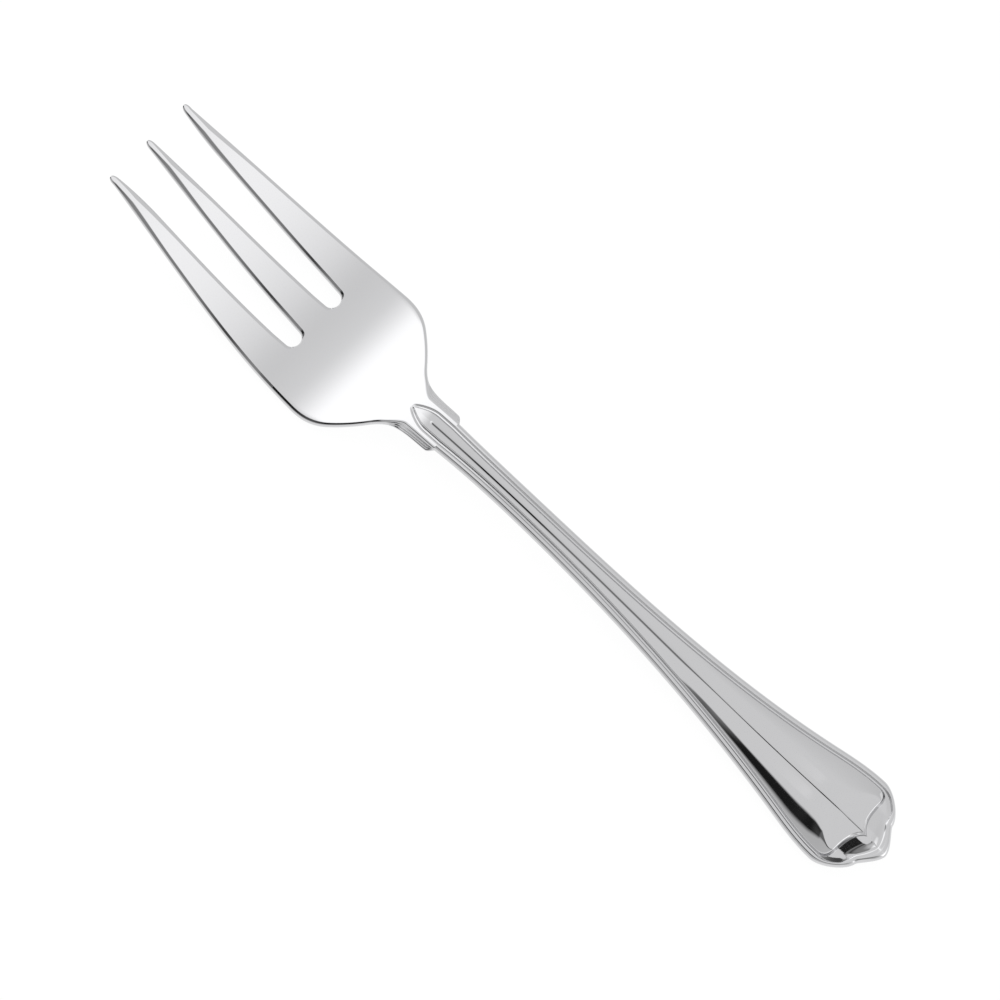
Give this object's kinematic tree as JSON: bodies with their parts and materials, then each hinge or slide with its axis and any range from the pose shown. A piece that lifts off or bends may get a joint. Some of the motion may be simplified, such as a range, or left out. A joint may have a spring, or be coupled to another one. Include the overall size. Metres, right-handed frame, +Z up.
{
  "type": "serving fork",
  "caption": "Polished steel serving fork with broad tapering tines and a thread-bordered hollow handle with a raised crested face.",
  "frame": {"origin": "middle of the fork's length and width, on the table it rests on", "axes": "+X along the fork from the tine tips to the handle's end, +Z up from the table through the fork's face"},
  "size_m": [0.24, 0.0386, 0.0223],
  "materials": {
    "polished_steel": "mirror polish with fine wiping marks",
    "handle_cement": "matte cast cement"
  },
  "bodies": {
    "root": {"fork_head": "polished_steel", "handle_front_shell": "polished_steel", "handle_back_shell": "polished_steel", "handle_filler": "handle_cement"}
  },
  "joints": []
}
